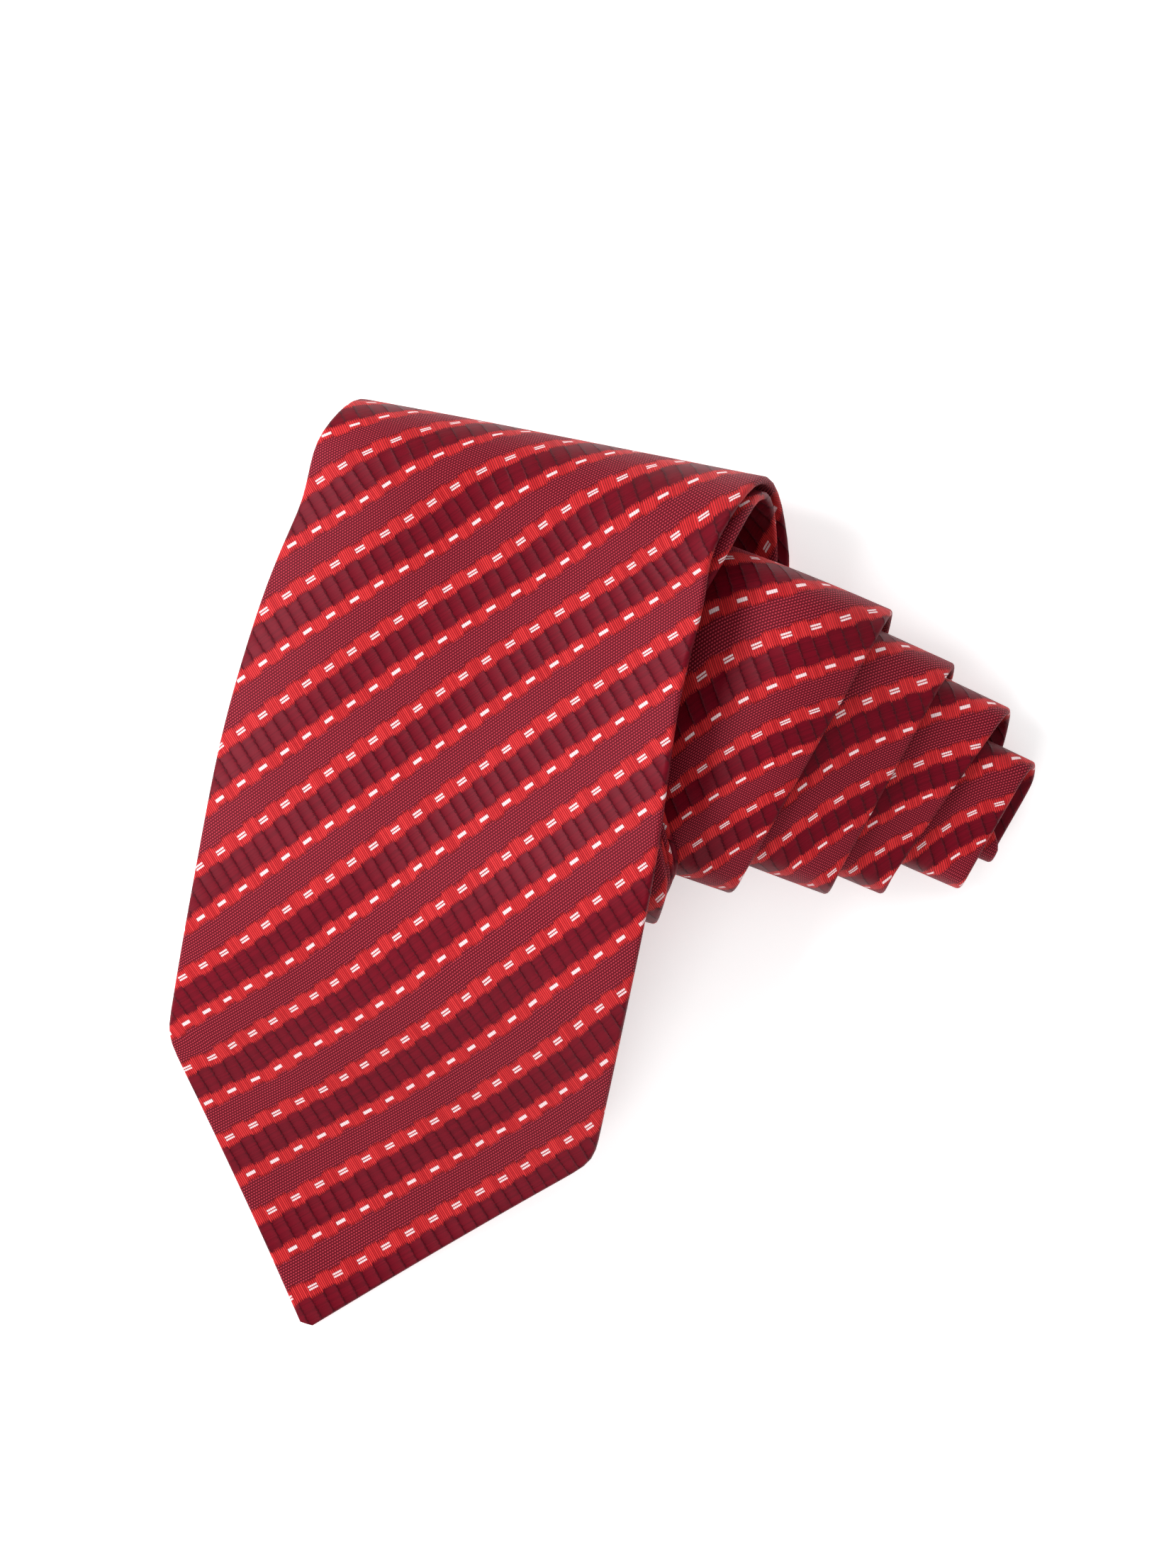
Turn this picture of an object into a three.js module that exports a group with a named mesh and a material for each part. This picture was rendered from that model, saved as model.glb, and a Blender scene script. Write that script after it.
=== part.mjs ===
// A gentleman's necktie, rolled up from its narrow end into a flat telescoped roll, with the wide
// blade lying over the top of the roll and its pointed tip resting in front of it.
// Millimetres, +Z up. The roll lies on the plane z = 0 and +Y runs from the tip over the roll.
//
// The tie is one long flat tube. Every piece is swept along the same list of rows: a row is a line
// across the tie, from its left edge to its right edge, at a distance s from the tip of the blade.
import * as THREE from "three";

// ---- cloth and layers ----
const SHELL = 0.25; // woven shell fabric
const LINING = 0.4; // interlining
const CLEAR = 0.3; // space between shell and interlining
const PLY = 2 * (SHELL + CLEAR) + LINING; // one thickness of the whole tie
const PITCH = PLY + 0.4; // from one pass of the roll to the next
const TURN_RISE = 2 * PITCH + 0.3; // what each turn adds to the passes above it
const CORE = 3.4; // height between the two passes of the innermost turn
const FLAP_LIFT = 1.7; // extra room under the blade for its loop and labels
const SEAM_HALF = 0.5; // half the open width of the back seam, where the slip stitch runs
const THREAD_HALF = 0.2;
const TRIM_GAP = 0.3; // clearance under labels and tacks
const SPLIT = 0.3; // half the clearance where two nodes meet end to end

// ---- outline of the blade, seen from above ----
const TIP = new THREE.Vector2(-53.8, -84.8);
const LEFT_EDGE = [[-77.7, -30.7], [-72.6, -4], [-67.2, 23.5], [-60, 47.6], [-52.8, 64.6]];
const RIGHT_EDGE = [[-1.3, -53.2], [3.9, -27.5], [9.4, 1], [13.3, 27.6], [17.8, 45.5]];
const HEM = 11; // width turned to the back along the two sides of the point
const V_TOP = 74; // the lining shows up to here
const V_SLOPE = 0.95;

// ---- creases of the roll, from the blade to the tail, top and bottom in turn ----
// x and y of the right end of each crease, the lean of its normal in degrees, the tie's width
// there, how round the bend is (1 is a half circle, less is flatter), and how far the back pass
// comes out of it to the right of the front pass.
const CREASES = [
  [29.8, 68.4, 11.2, 72, 1.0, 8],
  [9.8, -10.4, 15.0, 66, 0.5, 0],
  [29.6, 65.6, 11.6, 61, 0.95, 8],
  [10.2, -8.4, 15.0, 57, 0.5, 0],
  [23, 63.6, 12.0, 53, 0.9, 3],
  [10.8, -6.4, 15.0, 49, 0.5, 0],
  [22, 61.2, 12.4, 45, 0.85, 3],
  [11.6, -4.4, 15.0, 41, 0.5, 0],
  [22, 58.6, 12.8, 39, 0.8, 4],
  [23.2, -4.8, 19.6, 36, 0.45, 0],
  [51.8, 44.5, 21.5, 34, 0.7, 3],
  [40.4, -5.1, 21.0, 33, 0.45, 0],
  [63.1, 35.0, 23.0, 32, 0.7, 3],
  [50.5, -5.1, 23.5, 32, 0.45, 0],
  [73.2, 27.0, 24.5, 32, 0.7, 3],
  [64.4, -4.2, 24.0, 32, 0.45, 0],
  [77.7, 17.3, 24.5, 32, 0.7, 2],
  [70.1, 0.5, 23.5, 33, 0.8, 0],
  [74.4, 11.0, 23.5, 34, 0.8, 0],
];
const SKEW_COS = 0.975; // the creases cross the tie slightly askew, so they are a little longer
const BOW = 8; // the hidden front passes bow this far to the left, under the blade
const TAIL_RUN = 7; // the last pass, inside the innermost turn
const TAIL_POINT = 19; // length of the tail's own point

// ---- how the layers drape over each other ----
const BACK_RAMP = 44; // a back pass comes down over this distance beyond the turns under it,
const FRONT_RAMP = 38; // and a front pass over this distance
const SIDE_MARGIN = 4; // each starting this far beyond the side edges
const HIDDEN_TURNS = 5; // the blade covers these turns
const FLAP_SIDE_RAMP = 60; // the blade bridges further, to the sides
const FLAP_FRONT_RAMP = 80; // and down to the table in front of the roll

// ---- mesh steps ----
const ACROSS = 4; // cells across the tie
const BEND_STEPS = 4;
const WIDE_BEND_STEPS = 6;
const LONG_STEPS = [0.15, 0.38, 0.62, 0.85, 1];
const SHORT_STEPS = [0.3, 0.65, 1];
const LONG_PASS = 30;

// ---- where the pieces begin and end, as distances from the tip ----
const TIP_HINGE = 78;
const BLADE_HINGE = 143;
const BLADE_JOIN = 733; // blade panel to neck panel
const TAIL_JOIN = 1014; // neck panel to tail panel
const BAR_TACK = [81, 84];
const CARE_LABEL = [92, 108];
const KEEPER = [114, 126];
const MAKER_LABEL = [129, 140];

const smoothFall = (x) => {
  const c = THREE.MathUtils.clamp(x, 0, 1);
  return 1 - c * c * (3 - 2 * c);
};

// ---- creases and turns ----
const creases = CREASES.map(([x, y, lean, width, round, flare], i) => {
  const a = THREE.MathUtils.degToRad(lean);
  const right = new THREE.Vector2(x, y);
  const along = new THREE.Vector2(Math.cos(a), -Math.sin(a));
  const half = width / 2 / SKEW_COS;
  const top = i % 2 === 0;
  const out = new THREE.Vector2(Math.sin(a), Math.cos(a)).multiplyScalar(top ? 1 : -1);
  const mid = right.clone().addScaledVector(along, -half);
  const left = right.clone().addScaledVector(along, -2 * half);
  return { right, mid, left, along, out, half, round, flare, top };
});

// A turn is a front pass and the back pass behind it. Its footprint is bounded by its creases and
// by the outer of its two side edges.
const turns = [];
for (let t = 0; 2 * t < creases.length; t += 1) {
  const top = creases[2 * t];
  const next = creases[2 * t + 1] ?? creases[2 * t - 1];
  const base = creases[2 * t - 1] ?? next;
  turns.push({ top, next, base });
}

function sideDistance(p, low, high, sign) {
  const run = high.clone().sub(low).normalize();
  return sign * ((p.x - low.x) * run.y - (p.y - low.y) * run.x);
}

// 1 where the turn lies, falling smoothly to 0 outside it over the given distances.
function presence(turn, p, side, front) {
  const above = p.clone().sub(turn.top.right).dot(turn.top.out);
  const below = p.clone().sub(turn.base.right).dot(turn.base.out);
  const right = sideDistance(p, turn.next.right, turn.top.right, 1);
  const left = sideDistance(p, turn.base.left, turn.top.left, -1);
  const beside = Math.max(right, left) - SIDE_MARGIN;
  return smoothFall(Math.max(above / side, below / front, beside / side));
}

function backHeight(turn, p) {
  let z = PLY / 2;
  for (let i = 0; i < turn; i += 1) z += PITCH * presence(turns[i], p, BACK_RAMP, BACK_RAMP);
  return z;
}

function frontHeight(turn, p) {
  let z = backHeight(turn, p) + CORE;
  for (let i = turn + 1; i < turns.length; i += 1) {
    z += TURN_RISE * presence(turns[i], p, FRONT_RAMP, FRONT_RAMP);
  }
  return z;
}

function bladeHeight(p) {
  const near = presence(turns[0], p, FLAP_SIDE_RAMP, FLAP_FRONT_RAMP);
  let z = PLY / 2 + (CORE + FLAP_LIFT) * near;
  for (let i = 1; i < turns.length; i += 1) {
    const side = i < HIDDEN_TURNS ? FLAP_SIDE_RAMP : FRONT_RAMP;
    z += TURN_RISE * presence(turns[i], p, side, FLAP_FRONT_RAMP);
  }
  return z;
}

const heightOn = (pass, p) => {
  if (pass === 0) return bladeHeight(p);
  const turn = Math.floor(pass / 2);
  return pass % 2 === 0 ? frontHeight(turn, p) : backHeight(turn, p);
};

// ---- rows ----
const fractions = Array.from({ length: ACROSS + 1 }, (_, k) => (2 * k) / ACROSS - 1);
const rows = [];

function addRow(points, half, pass) {
  const centre = points[ACROSS / 2];
  const last = rows.at(-1);
  const s = last ? last.s + centre.distanceTo(last.points[ACROSS / 2]) : half;
  rows.push({ points, half, s, pass });
}

function rowOnBlade(left, right) {
  const points = fractions.map((f) => {
    const p = left.clone().lerp(right, (f + 1) / 2);
    return new THREE.Vector3(p.x, p.y, bladeHeight(p));
  });
  addRow(points, points[0].distanceTo(points[ACROSS]) / 2, 0);
}

const asVector = ([x, y]) => new THREE.Vector2(x, y);
const leftEdge = new THREE.SplineCurve(LEFT_EDGE.map(asVector));
const rightEdge = new THREE.SplineCurve(RIGHT_EDGE.map(asVector));
const BLADE_TOP = leftEdge.points.at(-1).clone().lerp(rightEdge.points.at(-1), 0.5);

for (const q of [0.05, 0.28, 0.52, 0.76]) {
  const left = TIP.clone().lerp(leftEdge.points[0], q);
  rowOnBlade(left, TIP.clone().lerp(rightEdge.points[0], q));
}
for (const t of [0, 0.05, 0.1, 0.15, 0.2, 0.3, 0.42, 0.56, 0.7, 0.85, 1]) {
  rowOnBlade(leftEdge.getPointAt(t), rightEdge.getPointAt(t));
}

// Lean of the pass before and after a crease, against the crease's normal, as a tangent.
function skew(from, to, crease) {
  const d = to.clone().sub(from);
  return d.dot(crease.along) / Math.abs(d.dot(crease.out));
}

// Points across the bend at one angle: 0 on the front pass, PI on the back pass.
function bendPoint(i, f, angle) {
  const crease = creases[i];
  const frontPass = crease.top ? i : i + 1;
  const backPass = crease.top ? i + 1 : i;
  const edge = crease.mid.clone().addScaledVector(crease.along, f * crease.half);
  const probe = edge.clone().addScaledVector(crease.out, -6);
  const depth = (crease.round * (heightOn(frontPass, probe) - heightOn(backPass, probe))) / 2;
  const before = i ? creases[i - 1].mid : BLADE_TOP;
  const after = creases[i + 1] ? creases[i + 1].mid : before;
  const lean = (skew(before, crease.mid, crease) - skew(crease.mid, after, crease)) / 2;
  const slide = lean * depth * (crease.top ? 1 : -1) + crease.flare / Math.PI;
  const shift = (a) => slide * (a - Math.PI / 2);
  const place = (a) => edge.clone()
    .addScaledVector(crease.out, -depth * (1 - Math.sin(a)))
    .addScaledVector(crease.along, shift(a));
  const high = heightOn(frontPass, place(0));
  const low = heightOn(backPass, place(Math.PI));
  const p = place(angle);
  return new THREE.Vector3(p.x, p.y, (high + low) / 2 + ((high - low) / 2) * Math.cos(angle));
}

const bendRow = (i, angle) => fractions.map((f) => bendPoint(i, f, angle));

function addFlat(start, end, halfStart, halfEnd, pass) {
  const run = start[ACROSS / 2].distanceTo(end[ACROSS / 2]);
  const hidden = pass > 0 && pass % 2 === 0 && pass < 2 * HIDDEN_TURNS;
  for (const t of run > LONG_PASS ? LONG_STEPS : SHORT_STEPS) {
    const points = start.map((p, k) => {
      const q = p.clone().lerp(end[k], t);
      if (hidden) q.x -= BOW * Math.sin(Math.PI * t);
      q.z = heightOn(pass, new THREE.Vector2(q.x, q.y));
      return q;
    });
    addRow(points, THREE.MathUtils.lerp(halfStart, halfEnd, t), pass);
  }
}

creases.forEach((crease, i) => {
  const enter = crease.top ? 0 : Math.PI;
  const start = rows.at(-1);
  addFlat(start.points, bendRow(i, enter), start.half, crease.half, i);
  const steps = i < 2 * HIDDEN_TURNS && crease.top ? WIDE_BEND_STEPS : BEND_STEPS;
  for (let j = 1; j <= steps; j += 1) {
    const turned = (Math.PI * j) / steps;
    addRow(bendRow(i, Math.abs(enter - turned)), crease.half, i + 1);
  }
});
const tailStart = rows.at(-1);
const tailPass = creases.length;
const tailRun = creases.at(-1).out.clone().multiplyScalar(-TAIL_RUN);
const tailEnd = tailStart.points.map((p) => new THREE.Vector3(p.x + tailRun.x, p.y + tailRun.y, p.z));
addFlat(tailStart.points, tailEnd, tailStart.half, tailStart.half, tailPass);

// The tail narrows to its point over the last rows.
const LENGTH = rows.at(-1).s;
for (const row of rows) {
  const left = LENGTH - row.s;
  if (left < TAIL_POINT) {
    const centre = row.points[ACROSS / 2].clone();
    const keep = Math.max(left / TAIL_POINT, 0.08);
    row.points.forEach((p) => p.lerp(centre, 1 - keep));
    row.half *= keep;
  }
}

// Normals point to the face side of the tie: up on the front passes, down on the back passes.
rows.forEach((row, i) => {
  const before = rows[Math.max(i - 1, 0)];
  const after = rows[Math.min(i + 1, rows.length - 1)];
  row.normals = row.points.map((_, k) => {
    const across = row.points[Math.min(k + 1, ACROSS)].clone().sub(row.points[Math.max(k - 1, 0)]);
    const onward = after.points[k].clone().sub(before.points[k]);
    return across.cross(onward).normalize();
  });
});

// The row at any distance from the tip, between the two nearest rows.
function rowAt(s) {
  const next = rows.findIndex((r) => r.s > s);
  const i = next < 0 ? rows.length - 1 : Math.max(next, 1);
  const a = rows[i - 1];
  const b = rows[i];
  const t = THREE.MathUtils.clamp((s - a.s) / (b.s - a.s), 0, 1);
  return {
    s,
    half: THREE.MathUtils.lerp(a.half, b.half, t),
    points: a.points.map((p, k) => p.clone().lerp(b.points[k], t)),
    normals: a.normals.map((n, k) => n.clone().lerp(b.normals[k], t).normalize()),
  };
}

function rowsBetween(s0, s1, least = 1) {
  const inner = rows.filter((r) => r.s > s0 + 0.6 && r.s < s1 - 0.6);
  if (inner.length + 1 < least) {
    return Array.from({ length: least + 1 }, (_, j) => rowAt(s0 + ((s1 - s0) * j) / least));
  }
  return [rowAt(s0), ...inner, rowAt(s1)];
}

// Point of a row at a millimetres right of the centre and n millimetres out of the mid surface.
function pointOn(row, a, n) {
  const f = THREE.MathUtils.clamp(((a / row.half + 1) / 2) * ACROSS, 0, ACROSS);
  const k = Math.min(Math.floor(f), ACROSS - 1);
  const p = row.points[k].clone().lerp(row.points[k + 1], f - k);
  const normal = row.normals[k].clone().lerp(row.normals[k + 1], f - k).normalize();
  return p.addScaledVector(normal, n);
}

// ---- sweeping a section along rows ----
function signedVolume(positions, index) {
  const [a, b, c] = [new THREE.Vector3(), new THREE.Vector3(), new THREE.Vector3()];
  let volume = 0;
  for (let i = 0; i < index.length; i += 3) {
    a.fromArray(positions, 3 * index[i]);
    b.fromArray(positions, 3 * index[i + 1]);
    c.fromArray(positions, 3 * index[i + 2]);
    volume += a.dot(b.cross(c));
  }
  return volume;
}

function sweep(path, section) {
  const positions = [];
  const index = [];
  const rings = path.map((row) => section(row));
  const count = rings[0].length;
  path.forEach((row, i) => {
    for (const [a, n] of rings[i]) positions.push(...pointOn(row, a, n).toArray());
  });
  for (let i = 0; i + 1 < path.length; i += 1) {
    for (let j = 0; j < count; j += 1) {
      const k = (j + 1) % count;
      const [p, q] = [i * count + j, i * count + k];
      // The diagonal leans the same way on every piece, so that stacked layers stay parallel.
      if (rings[i][k][0] > rings[i][j][0]) index.push(p, q, q + count, p, q + count, p + count);
      else index.push(p, q, p + count, q, q + count, p + count);
    }
  }
  // Each end is closed by a ladder between the outer and the inner half of the ring.
  const end = (path.length - 1) * count;
  for (let j = 0; j < count / 2 - 1; j += 1) {
    const [p, q, r, u] = [j, j + 1, count - 2 - j, count - 1 - j];
    index.push(q, p, u, q, u, r);
    index.push(end + p, end + q, end + r, end + p, end + r, end + u);
  }
  if (signedVolume(positions, index) < 0) {
    for (let i = 0; i < index.length; i += 3) {
      [index[i + 1], index[i + 2]] = [index[i + 2], index[i + 1]];
    }
  }
  const geometry = new THREE.BufferGeometry();
  geometry.setAttribute("position", new THREE.Float32BufferAttribute(positions, 3));
  geometry.setIndex(index);
  geometry.computeVertexNormals();
  return geometry;
}

// ---- sections, as points [a, n]; the second half of the ring runs back along the first ----
const spread = (half, from, to) => {
  const inside = fractions.map((f) => f * half).filter((a) => a > from + 0.4 && a < to - 0.4);
  return [from, ...inside, to];
};

// Half width of the opening in the back of the shell: the seam, and the V over the lining.
function openHalf(row) {
  const blade = Math.min(row.half - HEM, (V_TOP - row.s) * V_SLOPE);
  const left = LENGTH - row.s;
  const tail = Math.min(row.half - HEM / 2, (TAIL_POINT + 4 - left) * V_SLOPE);
  return Math.max(SEAM_HALF, blade, tail);
}

// The shell folds round both edges and meets at the back seam.
function shellSection(row) {
  const h = row.half;
  const cavity = Math.max(h - SHELL - CLEAR, 0.6 * h);
  const open = Math.min(openHalf(row), 0.7 * cavity);
  const [face, inner] = [PLY / 2, PLY / 2 - SHELL];
  const path = [];
  const wing = (half) => [0, 0.5, 1].map((f) => THREE.MathUtils.lerp(open, half, f));
  for (const a of wing(h)) path.push([-a, -face]);
  for (const f of fractions) path.push([f * h, face]);
  for (const a of wing(h).reverse()) path.push([a, -face]);
  for (const a of wing(cavity)) path.push([a, -inner]);
  for (const f of fractions) path.push([-f * cavity, inner]);
  for (const a of wing(cavity).reverse()) path.push([-a, -inner]);
  return path;
}

// A flat strip from a0 to a1 across the tie and from n0 to n1 through it.
function strip(a0, a1, n0, n1) {
  return (row) => {
    const across = spread(row.half, a0(row), a1(row));
    return [...across.map((a) => [a, n1]), ...across.reverse().map((a) => [a, n0])];
  };
}

const wideStrip = (halfOf, n0, n1) => (row) => {
  const across = fractions.map((f) => f * halfOf(row));
  return [...across.map((a) => [a, n1]), ...across.reverse().map((a) => [a, n0])];
};

const interliningSection = wideStrip(
  (row) => Math.max(row.half - SHELL - CLEAR - 0.5, 0.5 * row.half),
  -LINING / 2,
  LINING / 2,
);
const threadInner = LINING / 2 + TRIM_GAP;
const threadSection = strip(() => -THREAD_HALF, () => THREAD_HALF, -PLY / 2, -threadInner);
const liningSection = wideStrip((row) => openHalf(row) - TRIM_GAP, -PLY / 2, -threadInner);
const trim = (half, depth, start = 0) => {
  const n = -(PLY / 2 + TRIM_GAP + start);
  return wideStrip(() => half, n - depth, n);
};

// The keeper is a flat band: its two ends lie on the blade's back, its middle stands a little off.
const KEEPER_HALF = 22;
const KEEPER_THICK = 0.5;
const KEEPER_STAND = 0.4;
function keeperSection() {
  const outer = -(PLY / 2 + TRIM_GAP);
  const steps = [-1, -0.8, -0.65, 0, 0.65, 0.8, 1];
  const rise = (f) => (Math.abs(f) > 0.7 ? 0 : KEEPER_STAND);
  const near = steps.map((f) => [f * KEEPER_HALF, outer - rise(f)]);
  const far = steps.map((f) => [f * KEEPER_HALF, outer - rise(f) - KEEPER_THICK]).reverse();
  return [...near, ...far];
}

// ---- materials ----
const cloth = (color, roughness) => new THREE.MeshStandardMaterial({ color, roughness, metalness: 0 });
const silk = cloth(0x7a1626, 0.45);
const wool = cloth(0xe9e2d4, 0.95);
const satin = cloth(0x6b1020, 0.35);
const thread = cloth(0x8f1a26, 0.6);
const label = cloth(0x2a1a1e, 0.5);
const paleLabel = cloth(0xe8e4dc, 0.6);

// ---- assembly ----
const root = new THREE.Group();
const model = new THREE.Group();
root.add(model);

function add(name, path, section, material) {
  const mesh = new THREE.Mesh(sweep(path, section), material);
  mesh.name = name;
  model.add(mesh);
}

const FIRST = rows[0].s;
const hinge = (s, side) => s + side * SPLIT;
add("blade_tip_shell", rowsBetween(FIRST, hinge(TIP_HINGE, -1)), shellSection, silk);
add("blade_shell", rowsBetween(hinge(TIP_HINGE, 1), hinge(BLADE_HINGE, -1)), shellSection, silk);
add("blade_shell_rolled", rowsBetween(hinge(BLADE_HINGE, 1), BLADE_JOIN - SEAM_HALF), shellSection, silk);
add("neck_shell", rowsBetween(BLADE_JOIN + SEAM_HALF, TAIL_JOIN - SEAM_HALF), shellSection, silk);
add("tail_shell", rowsBetween(TAIL_JOIN + SEAM_HALF, LENGTH), shellSection, silk);

const LINING_INSET = 7;
const liningEnd = LENGTH - LINING_INSET;
add("interlining_tip", rowsBetween(LINING_INSET, hinge(TIP_HINGE, -1)), interliningSection, wool);
const bladeSpan = rowsBetween(hinge(TIP_HINGE, 1), hinge(BLADE_HINGE, -1));
add("interlining_blade", bladeSpan, interliningSection, wool);
add("interlining_rolled", rowsBetween(hinge(BLADE_HINGE, 1), liningEnd), interliningSection, wool);

add("blade_tipping", rowsBetween(15, V_TOP - 2), liningSection, satin);
add("tail_tipping", rowsBetween(LENGTH - TAIL_POINT, LENGTH - 8, 2), liningSection, satin);
const stitchStart = BAR_TACK[0];
add("slip_stitch_blade", rowsBetween(stitchStart, hinge(BLADE_HINGE, -1)), threadSection, thread);
const stitchEnd = LENGTH - TAIL_POINT - 6;
add("slip_stitch_rolled", rowsBetween(hinge(BLADE_HINGE, 1), stitchEnd), threadSection, thread);
add("blade_bar_tack", [rowAt(BAR_TACK[0]), rowAt(BAR_TACK[1])], trim(4, 0.3), thread);
add("tail_bar_tack", [rowAt(stitchEnd + 2), rowAt(stitchEnd + 3.5)], trim(3, 0.15, 0.3), thread);
add("care_label", rowsBetween(...CARE_LABEL), trim(9, 0.25), paleLabel);
add("maker_label", rowsBetween(...MAKER_LABEL), trim(15, 0.25), label);
add("keeper_loop", rowsBetween(...KEEPER), keeperSection, silk);
const TACK = [KEEPER[0] + 2, KEEPER[1] - 2];
const tackDepth = PLY / 2 + TRIM_GAP + KEEPER_THICK + TRIM_GAP;
const tackFrom = 0.83 * KEEPER_HALF;
for (const [name, side] of [["keeper_tack_left", -1], ["keeper_tack_right", 1]]) {
  const ends = [side * tackFrom, side * (KEEPER_HALF - 0.5)].sort((a, b) => a - b);
  const section = strip(() => ends[0], () => ends[1], -tackDepth - 0.25, -tackDepth);
  add(name, TACK.map(rowAt), section, thread);
}

// The origin is the middle of the tie's footprint, on the table.
const bounds = new THREE.Box3().setFromObject(model);
const middle = bounds.getCenter(new THREE.Vector3());
model.position.set(-middle.x, -middle.y, -bounds.min.z);

export default root;
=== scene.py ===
"""A burgundy striped silk necktie, rolled up from its narrow end under its own wide blade.

The tie is one long flat tube of folded cloth. Every piece is swept along the same rows: a row is a
line across the tie at a distance s from the tip of the blade. Rows are made in millimetres, in the
frame's own axes, and meshes in metres.
"""

import math

import bpy
import numpy as np
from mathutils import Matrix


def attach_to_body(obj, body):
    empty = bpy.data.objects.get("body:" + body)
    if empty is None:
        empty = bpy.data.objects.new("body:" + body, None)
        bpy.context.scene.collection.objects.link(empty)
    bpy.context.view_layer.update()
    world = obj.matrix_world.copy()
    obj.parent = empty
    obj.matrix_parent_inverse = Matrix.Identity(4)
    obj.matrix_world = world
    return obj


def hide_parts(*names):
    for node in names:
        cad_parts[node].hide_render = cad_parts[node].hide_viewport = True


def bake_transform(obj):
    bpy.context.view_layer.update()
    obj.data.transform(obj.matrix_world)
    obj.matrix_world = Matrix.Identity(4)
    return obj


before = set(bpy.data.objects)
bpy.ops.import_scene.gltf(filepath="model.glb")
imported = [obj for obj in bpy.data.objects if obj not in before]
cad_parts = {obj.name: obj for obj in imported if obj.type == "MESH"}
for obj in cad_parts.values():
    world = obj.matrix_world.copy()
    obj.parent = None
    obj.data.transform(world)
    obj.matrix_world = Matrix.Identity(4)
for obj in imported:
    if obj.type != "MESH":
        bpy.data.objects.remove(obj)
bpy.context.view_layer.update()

MM = 0.001

# ---- cloth and layers ----
SHELL = 0.25
CLEAR = 0.3
LINING = 0.4
PLY = 2 * (SHELL + CLEAR) + LINING
PITCH = PLY + 0.4
TURN_RISE = 2 * PITCH + 0.3
CORE = 3.4
FLAP_LIFT = 1.7

# ---- outline of the blade ----
TIP = (-53.8, -84.8)
LEFT_EDGE = [(-77.7, -30.7), (-72.6, -4), (-67.2, 23.5), (-60, 47.6), (-52.8, 64.6)]
RIGHT_EDGE = [(-1.3, -53.2), (3.9, -27.5), (9.4, 1), (13.3, 27.6), (17.8, 45.5)]
HEM = 11
V_TOP = 74
V_SLOPE = 0.95
TAIL_RUN = 7
TAIL_POINT = 19

# ---- creases, from the blade to the tail, top and bottom in turn: x and y of the right end, the
# lean of its normal in degrees, the tie's width there, how round the bend is, and how far the
# back pass comes out of it to the right of the front pass ----
CREASES = [
    (29.8, 68.4, 11.2, 72, 1.0, 8),
    (9.8, -10.4, 15.0, 66, 0.5, 0),
    (29.6, 65.6, 11.6, 61, 0.95, 8),
    (10.2, -8.4, 15.0, 57, 0.5, 0),
    (23, 63.6, 12.0, 53, 0.9, 3),
    (10.8, -6.4, 15.0, 49, 0.5, 0),
    (22, 61.2, 12.4, 45, 0.85, 3),
    (11.6, -4.4, 15.0, 41, 0.5, 0),
    (22, 58.6, 12.8, 39, 0.8, 4),
    (23.2, -4.8, 19.6, 36, 0.45, 0),
    (51.8, 44.5, 21.5, 34, 0.7, 3),
    (40.4, -5.1, 21.0, 33, 0.45, 0),
    (63.1, 35.0, 23.0, 32, 0.7, 3),
    (50.5, -5.1, 23.5, 32, 0.45, 0),
    (73.2, 27.0, 24.5, 32, 0.7, 3),
    (64.4, -4.2, 24.0, 32, 0.45, 0),
    (77.7, 17.3, 24.5, 32, 0.7, 2),
    (70.1, 0.5, 23.5, 33, 0.8, 0),
    (74.4, 11.0, 23.5, 34, 0.8, 0),
]
SKEW_COS = 0.975
BOW = 8  # the hidden front passes bow this far to the left, under the blade
ORIGIN = (-0.193, -0.127, 0)  # the rows' own origin in the frame

# ---- how the layers drape over each other ----
BACK_RAMP = 44
FRONT_RAMP = 38
SIDE_MARGIN = 4
HIDDEN_TURNS = 5
FLAP_SIDE_RAMP = 60
FLAP_FRONT_RAMP = 80

# ---- mesh steps ----
ACROSS = 24
ROW_STEP = 2.0
BEND_STEPS = 14

# ---- where the pieces begin and end, as distances from the tip ----
TIP_HINGE = 78
BLADE_HINGE = 143
TIP_SPLIT = 105
ROLL_SPLIT = 150
BLADE_JOIN = 733
TAIL_JOIN = 1014
BAR_TACK = 82.5
CARE_LABEL = (90, 104)
KEEPER = (114, 126)
MAKER_LABEL = (129, 140)


# ---- camera, light and floor ----
def aim(obj, target, roll=0.0):
    direction = np.array(target) - np.array(obj.location)
    yaw = math.atan2(-direction[0], direction[1])
    tilt = math.acos(-direction[2] / np.linalg.norm(direction))
    flat = math.hypot(direction[0], direction[1]) < 1e-6
    obj.rotation_euler = (0 if flat else tilt, 0, roll if flat else yaw)


scene = bpy.context.scene
camera = bpy.data.objects.new("Camera", bpy.data.cameras.new("Camera"))
scene.collection.objects.link(camera)
camera.data.lens = 100
camera.data.sensor_width = 36
camera.location = (-0.0026, 0.0140, 0.789)
aim(camera, (-0.0026, 0.0140, 0))
scene.camera = camera


def area_light(name, location, size, power, target=(0, 0, 0)):
    data = bpy.data.lights.new(name, "AREA")
    data.shape = "SQUARE"
    data.size = size
    data.energy = power
    light = bpy.data.objects.new(name, data)
    scene.collection.objects.link(light)
    light.location = location
    aim(light, target)


area_light("Key", (-0.6, 0.2, 0.55), 0.4, 7.0)
area_light("Fill", (-0.3, -0.7, 0.7), 0.6, 3.5)
area_light("Back", (0.2, 0.8, 0.5), 0.6, 1.6)

world = bpy.data.worlds.new("World")
world.use_nodes = True
world.node_tree.nodes["Background"].inputs["Color"].default_value = (1, 1, 1, 1)
world.node_tree.nodes["Background"].inputs["Strength"].default_value = 0.55
scene.world = world
scene.view_settings.view_transform = "Standard"


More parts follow.
